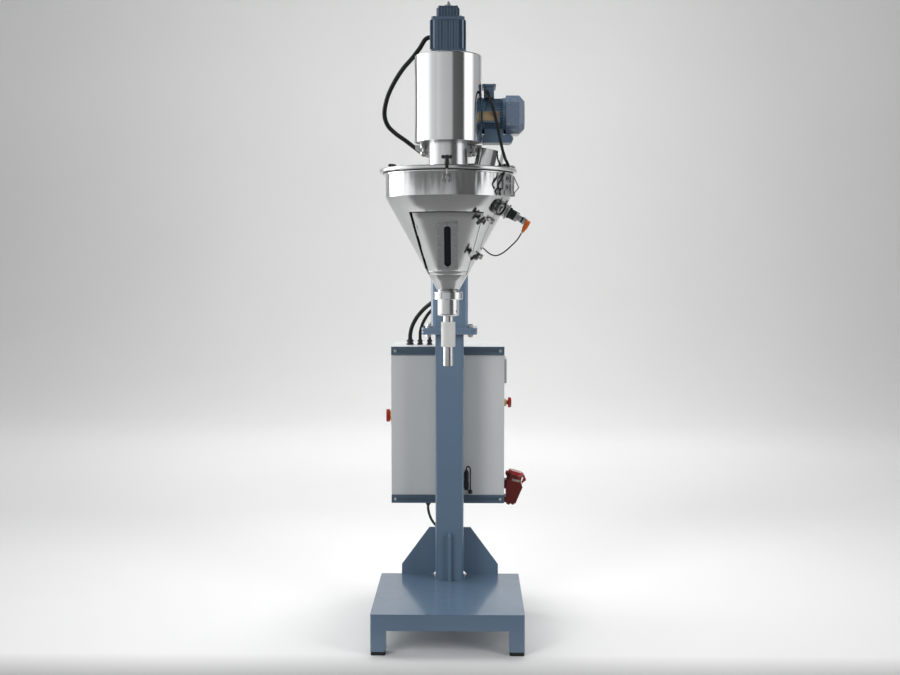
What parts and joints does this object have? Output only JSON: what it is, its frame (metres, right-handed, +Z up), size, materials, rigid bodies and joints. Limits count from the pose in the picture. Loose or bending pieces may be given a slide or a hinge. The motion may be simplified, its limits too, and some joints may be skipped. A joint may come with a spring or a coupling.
{
  "type": "auger packaging machine",
  "caption": "Floor-standing auger filler: servo dosing head over a stirred conical hopper, on a column with a control cabinet behind.",
  "frame": {"origin": "on the floor, under the centre of the machine's box", "axes": "+X to the operator's right, +Y away from the operator, +Z up along the auger"},
  "size_m": [0.5326, 0.8715, 2.116],
  "materials": {
    "frame_paint": "semi-gloss blue-grey paint",
    "motor_paint": "semi-gloss dark blue paint",
    "cabinet_paint": "light grey textured powder coat",
    "stainless": "satin stainless steel",
    "polished_stainless": "polished stainless steel",
    "zinc_steel": "zinc-plated steel",
    "black_plastic": "matt black moulded plastic",
    "black_rubber": "matt black rubber",
    "red_plastic": "glossy red plastic",
    "yellow_plastic": "glossy yellow plastic",
    "white_plastic": "white acetal",
    "orange_plastic": "orange plastic",
    "panel_plastic": "grey panel housing",
    "dark_glass": "dark sight glass"
  },
  "bodies": {
    "machine_frame": {"base_frame": "frame_paint", "foot_pads": "black_rubber", "column": "frame_paint", "mast": "frame_paint", "head_bracket": "stainless", "frame_fasteners": "zinc_steel", "cabinet_rails": "frame_paint", "cabinet_shell": "cabinet_paint", "cabinet_electrics": "panel_plastic", "cable_glands": "black_plastic", "hmi_panel": "panel_plastic", "switch_plates": "yellow_plastic", "socket_body": "red_plastic", "drive_casing": "polished_stainless", "servo_motor": "motor_paint", "servo_cap": "motor_paint", "gearbox": "motor_paint", "gear_motor": "motor_paint", "terminal_box": "motor_paint", "fan_cowl": "motor_paint", "hopper_lid": "stainless", "inlet_pipe": "stainless", "gaskets": "black_rubber", "hopper_shell": "stainless", "clamp_lugs": "stainless", "union_nut": "stainless", "tube_adapter": "stainless", "auger_tube": "stainless", "tube_sleeve": "white_plastic", "level_sensor": "black_plastic", "sensor_plug": "orange_plastic", "servo_cable": "black_rubber", "motor_cable": "black_rubber", "sensor_cable": "black_rubber", "trunk_cable_a": "black_rubber", "trunk_cable_b": "black_rubber", "trunk_cable_c": "black_rubber", "lower_cable": "black_rubber", "panel_lead": "black_rubber"},
    "auger": {"auger": "stainless"},
    "agitator": {"agitator": "stainless"},
    "motor_fan": {"motor_fan": "black_plastic"},
    "cabinet_door": {"cabinet_door": "cabinet_paint"},
    "door_lock": {"door_lock": "black_plastic"},
    "estop_button": {"estop_button": "red_plastic"},
    "isolator_handle": {"isolator_handle": "red_plastic"},
    "socket_lid": {"socket_lid": "red_plastic"},
    "lid_bolt_front": {"lid_bolt_front": "zinc_steel"},
    "lid_bolt_right": {"lid_bolt_right": "zinc_steel"},
    "lid_bolt_left": {"lid_bolt_left": "zinc_steel"},
    "lid_knob_front": {"lid_knob_front": "black_plastic"},
    "lid_knob_right": {"lid_knob_right": "black_plastic"},
    "lid_knob_left": {"lid_knob_left": "black_plastic"},
    "hatch_bolt_upper": {"hatch_bolt_upper": "zinc_steel"},
    "hatch_bolt_lower": {"hatch_bolt_lower": "zinc_steel"},
    "hatch_knob_upper": {"hatch_knob_upper": "black_plastic"},
    "hatch_knob_lower": {"hatch_knob_lower": "black_plastic"},
    "hatch": {"hatch": "stainless", "sight_frame": "stainless", "sight_glass": "dark_glass"}
  },
  "joints": [
    {"name": "auger_spin", "type": "hinge", "parent": "machine_frame", "child": "auger", "pos_m": [-0.0163, -0.20725, 1.5], "axis": [0, 0, 1], "continuous": true},
    {"name": "agitator_spin", "type": "hinge", "parent": "machine_frame", "child": "agitator", "pos_m": [-0.0163, -0.20725, 1.5], "axis": [0, 0, 1], "continuous": true},
    {"name": "fan_spin", "type": "hinge", "parent": "machine_frame", "child": "motor_fan", "pos_m": [0.1837, -0.15725, 1.752], "axis": [1, 0, 0], "continuous": true},
    {"name": "cabinet_door_hinge", "type": "hinge", "parent": "machine_frame", "child": "cabinet_door", "pos_m": [-0.2338, 0.41075, 0.68], "axis": [0, 0, 1], "range_deg": [0, 120]},
    {"name": "door_lock_turn", "type": "hinge", "parent": "cabinet_door", "child": "door_lock", "pos_m": [0.1567, 0.42375, 0.6801], "axis": [0, 1, 0], "range_deg": [0, 90]},
    {"name": "estop_press", "type": "slide", "parent": "machine_frame", "child": "estop_button", "axis": [-1, 0, 0], "range_m": [0, 0.004], "stiffness_N_per_m": 1500},
    {"name": "isolator_turn", "type": "hinge", "parent": "machine_frame", "child": "isolator_handle", "pos_m": [-0.2293, 0.26075, 0.702], "axis": [-1, 0, 0], "range_deg": [0, 90]},
    {"name": "socket_lid_hinge", "type": "hinge", "parent": "machine_frame", "child": "socket_lid", "pos_m": [0.19468, 0.27275, 0.48887], "axis": [0, -1, 0], "range_deg": [0, 90], "stiffness_Nm_per_rad": 0.05, "springref_deg": -22.92},
    {"name": "hatch_hinge", "type": "hinge", "parent": "machine_frame", "child": "hatch", "pos_m": [-0.08681, -0.23733, 1.25], "axis": [0.2262, 0.4807, -0.8472], "range_deg": [0, 100]},
    {"name": "lid_bolt_front_swing", "type": "hinge", "parent": "machine_frame", "child": "lid_bolt_front", "pos_m": [-0.0163, -0.42725, 1.534], "axis": [1, 0, 0], "range_deg": [0, 110]},
    {"name": "lid_knob_front_turn", "type": "hinge", "parent": "lid_bolt_front", "child": "lid_knob_front", "pos_m": [-0.0163, -0.42725, 1.59], "axis": [0, 0, 1], "range_deg": [0, 1080]},
    {"name": "lid_bolt_right_swing", "type": "hinge", "parent": "machine_frame", "child": "lid_bolt_right", "pos_m": [0.17423, -0.09725, 1.534], "axis": [-0.5, 0.866, 0], "range_deg": [0, 110]},
    {"name": "lid_knob_right_turn", "type": "hinge", "parent": "lid_bolt_right", "child": "lid_knob_right", "pos_m": [0.17423, -0.09725, 1.59], "axis": [0, 0, 1], "range_deg": [0, 1080]},
    {"name": "lid_bolt_left_swing", "type": "hinge", "parent": "machine_frame", "child": "lid_bolt_left", "pos_m": [-0.20683, -0.09725, 1.534], "axis": [-0.5, -0.866, 0], "range_deg": [0, 110]},
    {"name": "lid_knob_left_turn", "type": "hinge", "parent": "lid_bolt_left", "child": "lid_knob_left", "pos_m": [-0.20683, -0.09725, 1.59], "axis": [0, 0, 1], "range_deg": [0, 1080]},
    {"name": "hatch_bolt_upper_swing", "type": "hinge", "parent": "machine_frame", "child": "hatch_bolt_upper", "pos_m": [0.1273, -0.30726, 1.39966], "axis": [0.4003, -0.2788, 0.8729], "range_deg": [0, 100]},
    {"name": "hatch_knob_upper_turn", "type": "hinge", "parent": "hatch_bolt_upper", "child": "hatch_knob_upper", "pos_m": [0.09586, -0.35239, 1.39966], "axis": [-0.5715, -0.8206, 0], "range_deg": [0, 1080]},
    {"name": "hatch_bolt_lower_swing", "type": "hinge", "parent": "machine_frame", "child": "hatch_bolt_lower", "pos_m": [0.09118, -0.24014, 1.28766], "axis": [0.4665, -0.1427, 0.8729], "range_deg": [0, 100]},
    {"name": "hatch_knob_lower_turn", "type": "hinge", "parent": "hatch_bolt_lower", "child": "hatch_knob_lower", "pos_m": [0.07509, -0.29273, 1.28766], "axis": [-0.2926, -0.9562, 0], "range_deg": [0, 1080]}
  ],
  "couplings": [
    {"joint": "fan_spin", "follows": "agitator_spin", "ratio": 20}
  ]
}
